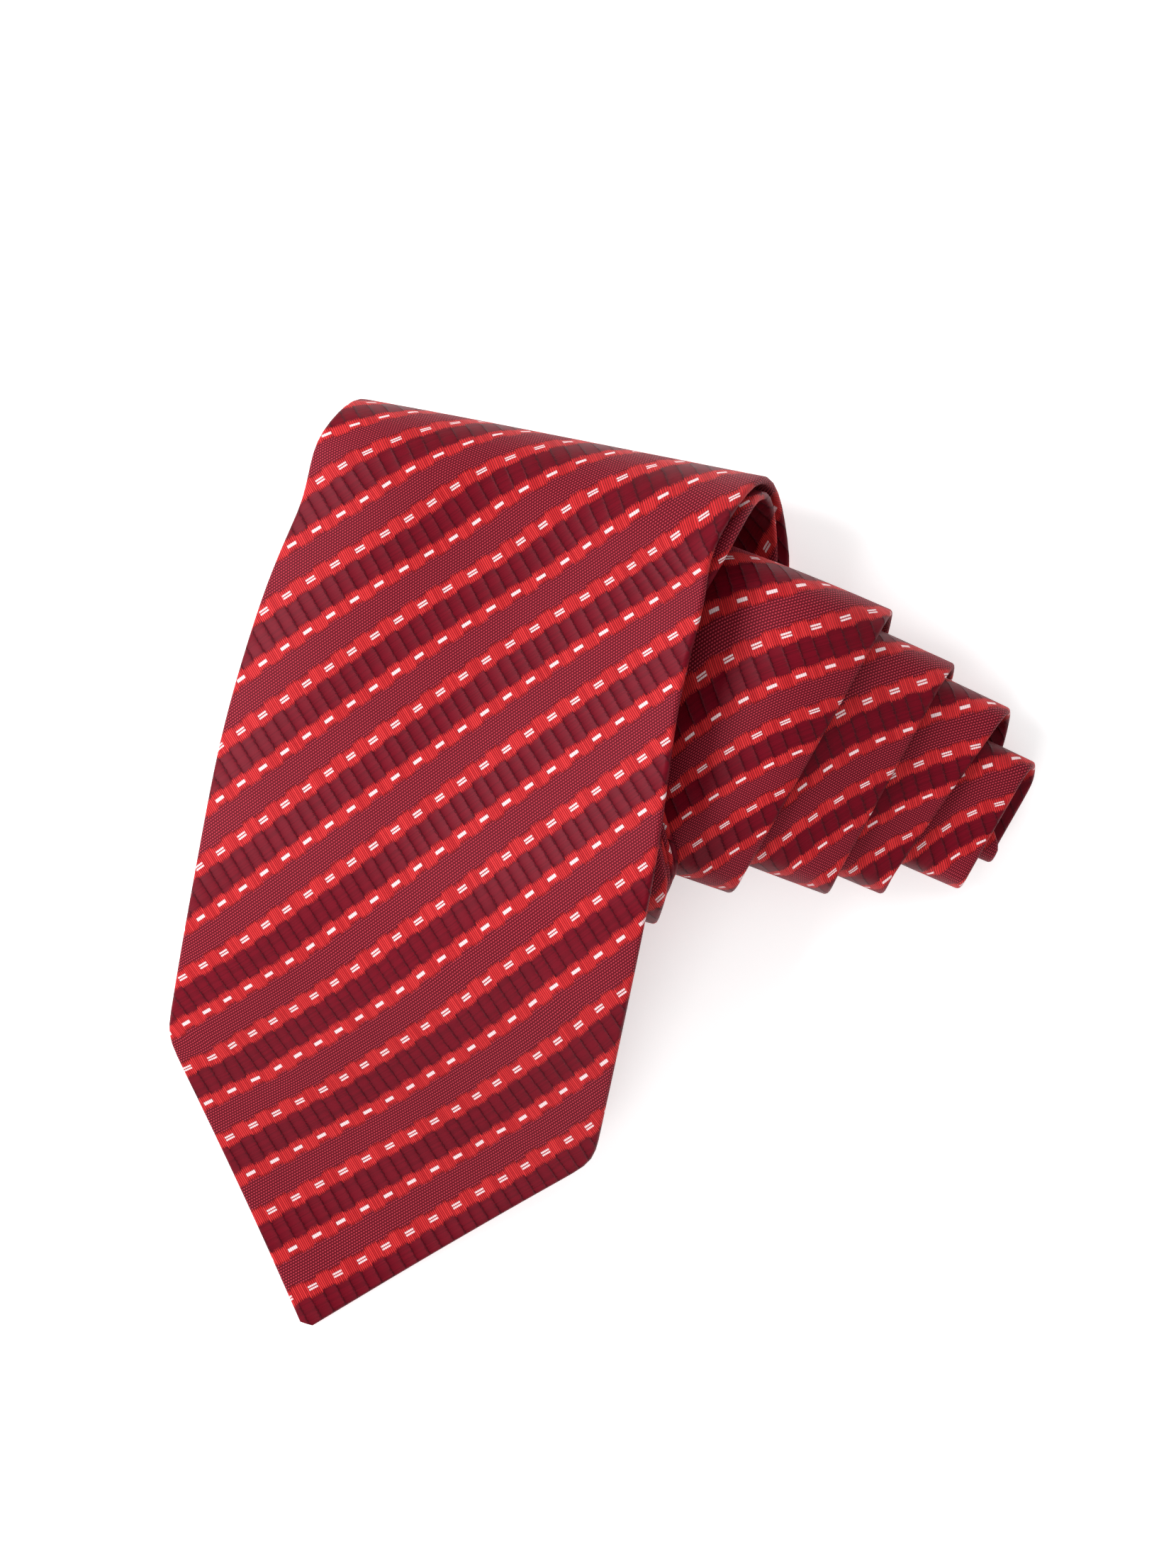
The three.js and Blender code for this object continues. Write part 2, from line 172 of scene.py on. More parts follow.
# ---- shader helpers ----
class Socket:
    """A shader value that takes part in arithmetic."""

    def __init__(self, tree, out):
        self.tree, self.out = tree, out

    def math(self, operation, *others, clamp=False):
        node = self.tree.nodes.new("ShaderNodeMath")
        node.operation = operation
        node.use_clamp = clamp
        for slot, value in enumerate((self, *others)):
            if isinstance(value, Socket):
                self.tree.links.new(value.out, node.inputs[slot])
            else:
                node.inputs[slot].default_value = value
        return Socket(self.tree, node.outputs[0])

    def __add__(self, other):
        return self.math("ADD", other)

    def __sub__(self, other):
        return self.math("SUBTRACT", other)

    def __mul__(self, other):
        return self.math("MULTIPLY", other)

    def __neg__(self):
        return self.math("MULTIPLY", -1)

    def abs(self):
        return self.math("ABSOLUTE")

    def floor(self):
        return self.math("FLOOR")

    def max(self, other):
        return self.math("MAXIMUM", other)

    def repeat(self, period, centre=0.0):
        """The distance from the nearest of the marks at centre, centre + period, ..."""
        shifted = self + (period / 2 - centre)
        turns = (shifted * (1 / period)).floor()
        return shifted - turns * period - period / 2

    def wave(self, period, phase=0.0):
        return (self * (2 * math.pi / period) + phase).math("SINE")

    def below(self, limit, soft=0.06):
        """1 below the limit, 0 above it, with a soft edge."""
        return ((self - limit) * (-0.5 / soft) + 0.5).math("MAXIMUM", 0, clamp=True)

    def ramp(self, start, run):
        """0 up to the start, then rising evenly to 1 over the run."""
        return ((self - start) * (1 / run)).math("MAXIMUM", 0).math("MINIMUM", 1)


def mix(tree, factor, a, b, blend="MIX"):
    node = tree.nodes.new("ShaderNodeMix")
    node.data_type = "RGBA"
    node.blend_type = blend
    for value, name in ((factor, "Factor_Float"), (a, "A_Color"), (b, "B_Color")):
        socket = next(s for s in node.inputs if s.identifier == name)
        if isinstance(value, Socket):
            tree.links.new(value.out, socket)
        else:
            socket.default_value = value
    return Socket(tree, next(s for s in node.outputs if s.identifier == "Result_Color"))


def linear(red, green, blue):
    """A linear colour from 8-bit sRGB values."""
    parts = [c / 255 for c in (red, green, blue)]
    return (*[c / 12.92 if c < 0.04045 else ((c + 0.055) / 1.055) ** 2.4 for c in parts], 1)


def new_material(name):
    material = bpy.data.materials.new(name)
    material.use_nodes = True
    tree = material.node_tree
    shader = tree.nodes["Principled BSDF"]
    return material, tree, shader


def strip_coordinates(tree):
    """Distance across and along the tie, in millimetres."""
    uv = tree.nodes.new("ShaderNodeUVMap")
    uv.uv_map = "Strip"
    parts = tree.nodes.new("ShaderNodeSeparateXYZ")
    tree.links.new(uv.outputs["UV"], parts.inputs[0])
    return [Socket(tree, parts.outputs[i]) * 1000 for i in (0, 1)]


def noise(tree, scale, detail=3.0):
    node = tree.nodes.new("ShaderNodeTexNoise")
    node.inputs["Scale"].default_value = scale
    node.inputs["Detail"].default_value = detail
    coords = tree.nodes.new("ShaderNodeTexCoord")
    tree.links.new(coords.outputs["Object"], node.inputs["Vector"])
    return Socket(tree, node.outputs[0])


def random_of(tree, x, y):
    node = tree.nodes.new("ShaderNodeTexWhiteNoise")
    node.noise_dimensions = "2D"
    join = tree.nodes.new("ShaderNodeCombineXYZ")
    tree.links.new(x.out, join.inputs[0])
    tree.links.new(y.out, join.inputs[1])
    tree.links.new(join.outputs[0], node.inputs["Vector"])
    return Socket(tree, node.outputs["Value"])


def finish_cloth(tree, shader, color, roughness, height, sheen=0.25, gleam=(1, 1, 1, 1)):
    tree.links.new(color.out, shader.inputs["Base Color"])
    tree.links.new(roughness.out, shader.inputs["Roughness"])
    bump = tree.nodes.new("ShaderNodeBump")
    bump.inputs["Strength"].default_value = 1.0
    bump.inputs["Distance"].default_value = MM
    tree.links.new(height.out, bump.inputs["Height"])
    tree.links.new(bump.outputs[0], shader.inputs["Normal"])
    shader.inputs["Specular IOR Level"].default_value = 0.16
    shader.inputs["Specular Tint"].default_value = gleam
    shader.inputs["Sheen Weight"].default_value = sheen
    shader.inputs["Sheen Roughness"].default_value = 0.4


# ---- the silk jacquard ----
STRIPE = 15.8  # from one double line to the next
FIRST_LINE = 6.4  # the first double line, in from the edge of the point
LEAN = 0.109  # how much more the lines rise per millimetre across than the bias cut gives
LEAN_START = 12  # where that starts, and over what length it comes in
LEAN_RUN = 66
BLADE_HALF = 38  # the blade's left edge, where the leaning lines keep their place
ROLL_LEAN = 0.19  # more of it on the rolled length, from ROLL_LEAN_START
ROLL_LEAN_START = 160
FAN = 0.29  # on the narrow turns the lines turn by this much to either side, steepest at the bottom
FAN_CENTRE = 9  # they keep their distance apart this far right of the tie's middle
NECK_SHIFT = 3.3  # the pattern's place on the neck panel
TAIL_DRIFT = 0.036  # and how it drifts per millimetre of the tail panel
DASH_PITCH = 5.0
DASH_HALF = 0.88
BLOCK = 2.5  # the lines are made of blocks, and the satin of ribs, of this length
BLOCK_STEP = 0.17  # the blocks stand this far to either side of their line in turn
DOUBLE_HALF = 1.46  # half the height of a red line with two white dashes, and with one
SINGLE_HALF = 1.26
FRAY = 0.32  # how uneven the ends of the red yarns are
YARN = 0.37
SATIN_FLOAT = 0.24
DOT = 0.5

RED = linear(204, 46, 48)
RED_DEEP = linear(166, 24, 30)
RED_GAP = linear(84, 2, 12)
SATIN = linear(102, 3, 22)
# Darker satin for floats that vary at random, and painted shade where each rib rounds down into its
# groove.
SATIN_DEEP_AND_RIB_SHADE = linear(78, 2, 16)
# Painted shade in the grooves between the satin ribs.
SATIN_GROOVE_SHADE = linear(54, 1, 11)
PLAIN = linear(88, 8, 22)
PLAIN_DOT = linear(176, 54, 68)
WHITE = linear(238, 206, 208)
SILK_GLEAM = (1, 0.55, 0.62, 1)


def silk_jacquard(name):
    material, tree, shader = new_material(name)
    across, along = strip_coordinates(tree)
    root = math.sqrt(0.5)
    u = (along + across) * root
    # The stripes lean a little more than the bias cut, but not at the point.
    lean = along.ramp(LEAN_START, LEAN_RUN) * LEAN
    roll_lean = along.ramp(ROLL_LEAN_START, LEAN_RUN) * ROLL_LEAN
    v = (across - along) * root + (across + BLADE_HALF) * lean + across * roll_lean
    # Each panel is cut from its own place on the cloth.
    on_neck = along.math("GREATER_THAN", BLADE_JOIN)
    on_tail = along.math("GREATER_THAN", TAIL_JOIN)
    drift = (along - TAIL_JOIN) * on_tail * TAIL_DRIFT
    v = v + on_neck * NECK_SHIFT + drift + FIRST_LINE
    from_double = v.repeat(STRIPE)
    from_single = v.repeat(STRIPE, STRIPE / 2)
    from_dash = u.repeat(DASH_PITCH)
    on_satin = v.repeat(STRIPE, STRIPE / 4).abs().below(STRIPE / 4)
    at_dash = from_dash.abs().below(BLOCK / 2, 0.03)

    # Red yarns cross each line. Its blocks step to either side in turn, and its ends are uneven.
    yarn = (u * (1 / YARN)).floor()
    line = (v * (2 / STRIPE) + 0.5).floor()
    upper = random_of(tree, yarn, line)
    lower = random_of(tree, yarn + 0.5, line)
    seam = u.repeat(YARN).abs()

    def red_line(distance, half, step):
        shifted = distance - (at_dash * (2 * step) - step)
        above = (shifted - upper * FRAY).below(half)
        below = (-shifted - lower * FRAY).below(half)
        frayed = (shifted.abs() + (0.35 - half)).math("MAXIMUM", 0)
        inside = above * below
        return inside, inside * seam.below(frayed * 0.2 + 0.035, 0.03)

    double, double_gap = red_line(from_double, DOUBLE_HALF, BLOCK_STEP)
    single, single_gap = red_line(from_single, SINGLE_HALF, -BLOCK_STEP)
    red = double.max(single)
    gap = double_gap.max(single_gap)
    dash_end = from_dash.abs().below(DASH_HALF)
    pair = (from_double.abs() - 0.27).abs().below(0.17)
    lone = from_single.abs().below(0.32)
    white = dash_end * pair.max(lone)

    # Satin floats run along the stripe and end at a ragged groove.
    float_row = (v * (1 / SATIN_FLOAT)).floor()
    rib = (u * (1 / BLOCK) + 0.5).floor()
    float_random = random_of(tree, float_row, rib)
    ragged = (random_of(tree, float_row + 0.5, rib) - 0.5) * 0.3
    groove_at = u.repeat(BLOCK, BLOCK / 2) + ragged
    groove = groove_at.abs().below(0.09, 0.09)
    pillow = (u * (math.pi / BLOCK)).math("COSINE").abs()

    # The plain ground shows one end of each yarn as a dot, in staggered rows.
    dot_row = (v * (1 / DOT)).floor()
    dot_u = (u + dot_row * (DOT / 2)).repeat(DOT)
    dot_v = v.repeat(DOT, DOT / 2)
    dot = (dot_u * dot_u + dot_v * dot_v * 1.6).below(0.026, 0.016)

    # Painted shade: each satin rib is darker towards its ends, where it rounds down into the
    # groove, on top of floats that vary at random.
    satin_color = mix(tree, float_random * 0.7 + (pillow * -0.5 + 0.3), SATIN, SATIN_DEEP_AND_RIB_SHADE)
    # Painted shade: the grooves between the ribs are darkened.
    satin_color = mix(tree, groove * 0.85, satin_color, SATIN_GROOVE_SHADE)
    plain_color = mix(tree, dot, PLAIN, PLAIN_DOT)
    red_color = mix(tree, random_of(tree, yarn + 0.25, line) * 0.8, RED, RED_DEEP)
    red_color = mix(tree, gap * 0.9, red_color, RED_GAP)
    color = mix(tree, on_satin, plain_color, satin_color)
    color = mix(tree, red, color, red_color)
    color = mix(tree, white, color, WHITE)
    tone = noise(tree, 60) - 0.5
    shade = mix(tree, tone * 0.5 + 0.5, (0.84, 0.84, 0.84, 1), (1.14, 1.14, 1.14, 1))
    color = mix(tree, 1.0, color, shade, "MULTIPLY")

    satin_height = pillow.math("POWER", 0.5) * 0.16 - groove * 0.05 + float_random * 0.012
    plain_height = dot * 0.05 + 0.04
    ground = plain_height + (satin_height - plain_height) * on_satin
    red_height = gap * -0.08 + 0.17
    height = ground + (red_height - ground) * red + white * 0.07
    rough = on_satin * -0.12 + 0.6
    rough = rough + (red * (-rough + 0.55))
    finish_cloth(tree, shader, color, rough, height, 0.01, SILK_GLEAM)
    return material


def woven(name, light, dark, pitch, roughness=0.6, depth=0.04, sheen=0.2):
    """Plain weave: over and under at the pitch, in millimetres."""
    material, tree, shader = new_material(name)
    across, along = strip_coordinates(tree)
    weave = across.wave(pitch) * along.wave(pitch)
    tone = noise(tree, 90)
    color = mix(tree, weave * 0.3 + tone * 0.6 + 0.2, light, dark)
    rough = tone * 0.15 + (roughness - 0.07)
    finish_cloth(tree, shader, color, rough, weave * depth + tone * depth * 2, sheen)
    return material


silk = silk_jacquard("Silk_jacquard")
wool = woven("Napped_wool", linear(236, 228, 212), linear(206, 196, 178), 0.9, 0.95, 0.08, 0.5)
lining = woven("Lining_satin", linear(112, 16, 34), linear(82, 8, 22), 0.35, 0.34, 0.015, 0.15)
thread = woven("Silk_thread", linear(170, 30, 42), linear(120, 14, 26), 0.5, 0.5, 0.05)
label_cloth = woven("Label_dark", linear(52, 34, 38), linear(34, 20, 24), 0.3, 0.5, 0.03)
care_cloth = woven("Label_pale", linear(228, 224, 216), linear(205, 200, 190), 0.3, 0.45, 0.02)

floor_material, floor_tree, floor_shader = new_material("Floor")
floor_tone = noise(floor_tree, 3)
floor_color = mix(floor_tree, floor_tone, (0.93, 0.93, 0.93, 1), (0.96, 0.96, 0.96, 1))
floor_tree.links.new(floor_color.out, floor_shader.inputs["Base Color"])
floor_shader.inputs["Roughness"].default_value = 0.8
floor_shader.inputs["Emission Color"].default_value = (1, 1, 1, 1)
floor_shader.inputs["Emission Strength"].default_value = 0.4
bpy.ops.mesh.primitive_plane_add(size=6, location=(0, 0, -0.0003))
floor = bpy.context.object
floor.name = "Floor"
floor.data.materials.append(floor_material)


# ---- creases and turns ----
def unit(vector):
    return vector / np.linalg.norm(vector)


def smooth_fall(x):
    c = np.clip(x, 0, 1)
    return 1 - c * c * (3 - 2 * c)


class Crease:
    def __init__(self, index, x, y, lean, width, roundness, flare):
        a = math.radians(lean)
        self.top = index % 2 == 0
        self.right = np.array([x, y], float)
        self.along = np.array([math.cos(a), -math.sin(a)])
        self.half = width / 2 / SKEW_COS
        self.out = np.array([math.sin(a), math.cos(a)]) * (1 if self.top else -1)
        self.mid = self.right - self.half * self.along
        self.left = self.right - 2 * self.half * self.along
        self.round = roundness
        self.flare = flare


creases = [Crease(i, *values) for i, values in enumerate(CREASES)]
turns = []
for t in range((len(creases) + 1) // 2):
    following = creases[2 * t + 1] if 2 * t + 1 < len(creases) else creases[2 * t - 1]
    turns.append((creases[2 * t], following, creases[2 * t - 1] if t else following))


def beside(p, low, high, sign):
    run = unit(high - low)
    return sign * ((p[..., 0] - low[0]) * run[1] - (p[..., 1] - low[1]) * run[0])


def presence(turn, p, side, front):
    """1 where the turn lies, falling smoothly to 0 outside it over the given distances."""
    top, following, base = turns[turn]
    above = (p - top.right) @ top.out
    below = (p - base.right) @ base.out
    right = beside(p, following.right, top.right, 1)
    left = beside(p, base.left, top.left, -1)
    sides = np.maximum(right, left) - SIDE_MARGIN
    return smooth_fall(np.maximum.reduce([above / side, below / front, sides / side]))


def back_height(turn, p):
    under = [PITCH * presence(i, p, BACK_RAMP, BACK_RAMP) for i in range(turn)]
    return PLY / 2 + sum(under, np.zeros(p.shape[:-1]))


def front_height(turn, p):
    z = back_height(turn, p) + CORE
    for i in range(turn + 1, len(turns)):
        z = z + TURN_RISE * presence(i, p, FRONT_RAMP, FRONT_RAMP)
    return z


def blade_height(p):
    z = PLY / 2 + (CORE + FLAP_LIFT) * presence(0, p, FLAP_SIDE_RAMP, FLAP_FRONT_RAMP)
    for i in range(1, len(turns)):
        side = FLAP_SIDE_RAMP if i < HIDDEN_TURNS else FRONT_RAMP
        z = z + TURN_RISE * presence(i, p, side, FLAP_FRONT_RAMP)
    return z


def height_on(pass_number, p):
    if pass_number == 0:
        return blade_height(p)
    turn = pass_number // 2
    return front_height(turn, p) if pass_number % 2 == 0 else back_height(turn, p)


# ---- rows ----
fractions = np.linspace(-1, 1, ACROSS + 1)
row_points, row_halves, row_fans = [], [], []


def add_row(points, half, passed=0.0):
    """passed counts the passes up to this row. The lines fan out on the turns beside the blade."""
    row_points.append(points)
    row_halves.append(half)
    shown = min(max(passed - 2 * HIDDEN_TURNS + 2, 0), 1)
    row_fans.append(FAN * shown * math.cos(math.pi * passed))


def with_height(flat, pass_number):
    return np.column_stack([flat, height_on(pass_number, flat)])


def spline(points, count):
    """Points evenly spaced along a Catmull-Rom curve."""
    p = np.array(points, float)
    p = np.vstack([p[:1], p, p[-1:]])
    line = []
    for i in range(1, len(p) - 2):
        for t in np.linspace(0, 1, 40, endpoint=i == len(p) - 3):
            a, b, c, d = p[i - 1 : i + 3]
            line.append(
                b
                + 0.5 * t * (c - a)
                + t * t * (a - 2.5 * b + 2 * c - 0.5 * d)
                + t**3 * (1.5 * (b - c) + 0.5 * (d - a))
            )
    line = np.array(line)
    run = np.concatenate([[0], np.cumsum(np.linalg.norm(np.diff(line, axis=0), axis=1))])
    wanted = np.linspace(0, run[-1], count)
    return np.column_stack([np.interp(wanted, run, line[:, k]) for k in (0, 1)])


def row_on_blade(left, right):
    flat = left + (right - left) * ((fractions + 1) / 2)[:, None]
    add_row(with_height(flat, 0), np.linalg.norm(right - left) / 2)


tip = np.array(TIP)
to_left, to_right = np.array(LEFT_EDGE[0]) - tip, np.array(RIGHT_EDGE[0]) - tip
for q in np.linspace(0.03, 0.98, 22):
    row_on_blade(tip + to_left * q, tip + to_right * q)
for left, right in zip(spline(LEFT_EDGE, 50), spline(RIGHT_EDGE, 50)):
    row_on_blade(left, right)
BLADE_TOP = (np.array(LEFT_EDGE[-1]) + np.array(RIGHT_EDGE[-1])) / 2


def skew(start, end, crease):
    d = end - start
    return d @ crease.along / abs(d @ crease.out)


def bend_row(i, angle):
    """A row across bend i at one angle: 0 on the front pass, pi on the back pass."""
    crease = creases[i]
    front, back = (i, i + 1) if crease.top else (i + 1, i)
    edge = crease.mid + np.outer(fractions * crease.half, crease.along)
    probe = edge - 6 * crease.out
    depth = crease.round * (height_on(front, probe) - height_on(back, probe)) / 2
    before = creases[i - 1].mid if i else BLADE_TOP
    after = creases[i + 1].mid if i + 1 < len(creases) else before
    lean = (skew(before, crease.mid, crease) - skew(crease.mid, after, crease)) / 2
    slide = lean * depth * (1 if crease.top else -1) + crease.flare / math.pi

    def place(a):
        shift = slide * (a - math.pi / 2)
        inward = -depth * (1 - math.sin(a))
        return edge + np.outer(inward, crease.out) + np.outer(shift, crease.along)

    high = height_on(front, place(0))
    low = height_on(back, place(math.pi))
    return np.column_stack([place(angle), (high + low) / 2 + (high - low) / 2 * math.cos(angle)])


def add_flat(start, end, half_start, half_end, pass_number):
    run = np.linalg.norm(end[ACROSS // 2] - start[ACROSS // 2])
    hidden = pass_number > 0 and pass_number % 2 == 0 and pass_number < 2 * HIDDEN_TURNS
    bow = BOW if hidden else 0
    for t in np.linspace(0, 1, max(3, math.ceil(run / ROW_STEP)))[1:]:
        flat = start[:, :2] + (end[:, :2] - start[:, :2]) * t
        flat[:, 0] -= bow * math.sin(math.pi * t)
        half = half_start + (half_end - half_start) * t
        add_row(with_height(flat, pass_number), half, pass_number + t)


for i, crease in enumerate(creases):
    enter = 0 if crease.top else math.pi
    add_flat(row_points[-1], bend_row(i, enter), row_halves[-1], crease.half, i)
    for j in range(1, BEND_STEPS + 1):
        add_row(bend_row(i, abs(enter - math.pi * j / BEND_STEPS)), crease.half, i + 1)
tail_end = row_points[-1].copy()
tail_end[:, :2] -= TAIL_RUN * creases[-1].out
add_flat(row_points[-1], tail_end, row_halves[-1], row_halves[-1], len(creases))

points = np.array(row_points) + ORIGIN
halves = np.array(row_halves)
# Cloth has no sharp kink, so neighbouring rows are averaged.
for _ in range(3):
    points[1:-1] = 0.25 * points[:-2] + 0.5 * points[1:-1] + 0.25 * points[2:]
    halves[30:-1] = 0.25 * halves[29:-2] + 0.5 * halves[30:-1] + 0.25 * halves[31:]

centre = points[:, ACROSS // 2]
steps = np.linalg.norm(np.diff(centre, axis=0), axis=1)
distance = halves[0] + np.concatenate([[0], np.cumsum(steps)])
LENGTH = distance[-1]
keep = np.clip((LENGTH - distance) / TAIL_POINT, 0.06, 1)
points = centre[:, None] + (points - centre[:, None]) * keep[:, None, None]
halves = halves * keep

onward = np.gradient(points, axis=0)
across_all = np.gradient(points, axis=1)
normals = np.cross(across_all, onward)
normals /= np.linalg.norm(normals, axis=2, keepdims=True)


def rows_at(s):
    """Points, normals and half widths at distances s from the tip."""
    s = np.asarray(s, float)
    i = np.clip(np.searchsorted(distance, s), 1, len(distance) - 1)
    t = np.clip((s - distance[i - 1]) / (distance[i] - distance[i - 1]), 0, 1)
    p = points[i - 1] + (points[i] - points[i - 1]) * t[:, None, None]
    n = normals[i - 1] + (normals[i] - normals[i - 1]) * t[:, None, None]
    half = halves[i - 1] + (halves[i] - halves[i - 1]) * t
    return p, n / np.linalg.norm(n, axis=2, keepdims=True), half


def steps_between(s0, s1, longest=2.0):
    inside = distance[(distance > s0 + 0.4) & (distance < s1 - 0.4)]
    marks = np.concatenate([[s0], inside, [s1]])
    line = [s0]
    for a, b in zip(marks[:-1], marks[1:]):
        count = max(1, math.ceil((b - a) / longest))
        line.extend(np.linspace(a, b, count + 1)[1:])
    return np.array(line)


def place_on(row, a, n):
    """Positions at a millimetres right of a row's centre and n out of the mid surface."""
    p, normal, half = row
    f = np.clip((a / half + 1) / 2 * ACROSS, 0, ACROSS)
    k = np.minimum(f.astype(int), ACROSS - 1)
    t = (f - k)[:, None]
    q = p[k] * (1 - t) + p[k + 1] * t
    m = normal[k] * (1 - t) + normal[k + 1] * t
    return q + m / np.linalg.norm(m, axis=1, keepdims=True) * n[:, None]


def points_on(s, a, n):
    """Positions for equal lists of s, a and n."""
    a, n = np.asarray(a), np.asarray(n)
    rows = zip(*rows_at(s))
    return np.concatenate([place_on(row, a[i : i + 1], n[i : i + 1]) for i, row in enumerate(rows)])


# ---- meshes ----
def new_piece(name, vertices, faces, uv, material):
    mesh = bpy.data.meshes.new(name)
    mesh.from_pydata((np.asarray(vertices) * MM).tolist(), [], [list(f) for f in faces])
    layer = mesh.uv_layers.new(name="Strip")
    corner = np.empty(len(mesh.loops), int)
    mesh.loops.foreach_get("vertex_index", corner)
    layer.data.foreach_set("uv", (np.asarray(uv)[corner] * MM).astype(np.float32).ravel())
    mesh.polygons.foreach_set("use_smooth", [True] * len(mesh.polygons))
    mesh.materials.append(material)
    mesh.update()
    piece = bpy.data.objects.new(name, mesh)
    scene.collection.objects.link(piece)
    return piece


def sweep(name, s_values, section, material):
    """A closed strip: section(half, s) gives the ring's a, n and w, and its second half runs back
    along the first."""
    p, n, half = rows_at(s_values)
    fan = np.interp(s_values, distance, row_fans)
    vertices, uv = [], []
    for i, s in enumerate(s_values):
        a, out, w = section(half[i], s)
        vertices.append(place_on((p[i], n[i], half[i]), a, out))
        turned = (w - FAN_CENTRE) * fan[i] * math.sqrt(0.5)
        uv.append(np.column_stack([w + turned, s - turned]))
    count = len(vertices[0])
    faces = []
    for i in range(len(s_values) - 1):
        base = i * count
        for j in range(count):
            k = (j + 1) % count
            faces.append((base + j, base + j + count, base + k + count, base + k))
    end = (len(s_values) - 1) * count
    for j in range(count // 2 - 1):
        ladder = (j, j + 1, count - 2 - j, count - 1 - j)
        faces.append(ladder)
        faces.append(tuple(end + v for v in reversed(ladder)))
    piece = new_piece(name, np.concatenate(vertices), faces, np.concatenate(uv), material)
    # The ends are shaded apart, so that the cloth runs smoothly on into the next piece.
    for edge in piece.data.edges:
        low, high = min(edge.vertices), max(edge.vertices)
        edge.use_edge_sharp = high < count or low >= end
    return piece


def open_half(half, s, seam):
    blade = min(half - HEM, (V_TOP - s) * V_SLOPE)
    tail = min(half - HEM / 2, (TAIL_POINT + 4 - (LENGTH - s)) * V_SLOPE)
    return max(seam, blade, tail)


FACE_POINTS = 33
ARC_POINTS = 7
FLAP_POINTS = 14
SEAM = 0.06
PINCH = 3  # over this length the two plies close up at either end of the tie


def shell_section(half, s):
    """The shell folds round both edges and meets at the back seam."""
    reach = min(PLY / 2, 0.45 * half)
    flat = half - reach
    opening = min(open_half(half, s, SEAM), 0.75 * flat)
    angles = np.linspace(0, math.pi, ARC_POINTS + 2)[1:-1]
    face = np.linspace(-flat, flat, FACE_POINTS)
    flap = np.linspace(flat, opening, FLAP_POINTS)
    swell = 0.12 * (1 - (face / flat) ** 2)
    shut = SHELL + 0.01
    body = shut + (PLY / 2 - shut) * min(1, (s - distance[0]) / PINCH, (LENGTH - s) / PINCH)

    def wall(inset):
        thick, wide = body - inset, reach - min(inset, 0.5 * reach)
        right = (flat + wide * np.sin(angles), thick * np.cos(angles))
        a = np.concatenate([-flap[::-1], -right[0][::-1], face, right[0], flap])
        under = np.full(FLAP_POINTS, -thick)
        n = np.concatenate([under, right[1][::-1], swell + thick, right[1], under])
        return a, n

    a, n = wall(0)
    step = np.hypot(np.diff(a), np.diff(n))
    w = np.concatenate([[0], np.cumsum(step)])
    w -= w[len(w) // 2]
    inner_a, inner_n = wall(SHELL)
    return (
        np.concatenate([a, inner_a[::-1]]),
        np.concatenate([n, inner_n[::-1]]),
        np.concatenate([w, w[::-1]]),
    )


def flat_section(width_of, top, bottom, count=17):
    def section(half, s):
        width = width_of(half, s)
        a = np.linspace(-width, width, count)
        ring = np.concatenate([a, a[::-1]])
        n = np.concatenate([np.full(count, top), np.full(count, bottom)])
        return ring, n, ring

    return section


def cloth_facts(s0, s1, width_of):
    """Flat width, length and area of a strip of cloth, in metres."""
    s = np.linspace(s0, s1, 200)
    widths = np.array([width_of(h, x) for h, x in zip(rows_at(s)[2], s)])
    area = np.trapezoid(widths, s) if hasattr(np, "trapezoid") else np.trapz(widths, s)
    return (widths.max() * MM, (s1 - s0) * MM), area * MM * MM


def declare(piece, s0, s1, width_of, held, rests_on):
    flat, area = cloth_facts(s0, s1, width_of)
    min(area, flat[0] * flat[1])


def hinge_line(s, reach):
    """Where the cloth begins and ends to bend: from the hinge, square to it, on its free side."""
    start, end = points_on([s, s - reach], [0, 0], [0, 0]) * MM
    left, right = points_on([s, s], [-30, 30], [0, 0]) * MM
    row = unit(right - left)
    travel = end - start
    travel = travel - (travel @ row) * row
    return start.tolist(), (start + travel).tolist()


TIP_BEND = hinge_line(TIP_HINGE, 36)
BLADE_BEND = hinge_line(BLADE_HINGE, 34)


def on_tip(piece):
    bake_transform(piece)


def on_blade(piece):
    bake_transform(piece)


def on_roll(piece):
    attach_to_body(piece, "roll")


def shell_width(half, s):
    return 4 * half - 2 * open_half(half, s, SEAM)


first = distance[0]
shells = [
    ("blade_tip_cloth", first, TIP_SPLIT, "blade_tip_shell", on_tip),
    ("blade_cloth", TIP_SPLIT, ROLL_SPLIT, "blade_shell", on_blade),
    ("blade_rolled_cloth", ROLL_SPLIT, BLADE_JOIN - SEAM, "blade_shell_rolled", on_roll),
    ("neck_cloth", BLADE_JOIN + SEAM, TAIL_JOIN - SEAM, "neck_shell", on_roll),
    ("tail_cloth", TAIL_JOIN + SEAM, LENGTH, "tail_shell", on_roll),
]
for name, s0, s1, node, attach in shells:
    piece = sweep(name, steps_between(s0, s1), shell_section, silk)
    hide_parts(node)
    attach(piece)
    declare(piece, s0, s1, shell_width, "folded", ["interlining_rolled"])


# ---- interlining and tipping ----
def pad_half(half, s):
    return max(half - SHELL - CLEAR - 0.5, 0.5 * half)


pads = [
    ("interlining_tip_pad", 7, TIP_SPLIT, "interlining_tip", on_tip),
    ("interlining_blade_pad", TIP_SPLIT, ROLL_SPLIT, "interlining_blade", on_blade),
    ("interlining_rolled_pad", ROLL_SPLIT, LENGTH - 7, "interlining_rolled", on_roll),
]
pad_section = flat_section(pad_half, LINING / 2, -LINING / 2, 13)
for name, s0, s1, node, attach in pads:
    piece = sweep(name, steps_between(s0, s1, 3.0), pad_section, wool)
    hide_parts(node)
    attach(piece)
    declare(piece, s0, s1, lambda half, s: 2 * pad_half(half, s), "folded", ["blade_rolled_cloth"])


def tipping_half(half, s):
    return min(open_half(half, s, SEAM) + 1.5, half - 1.5)


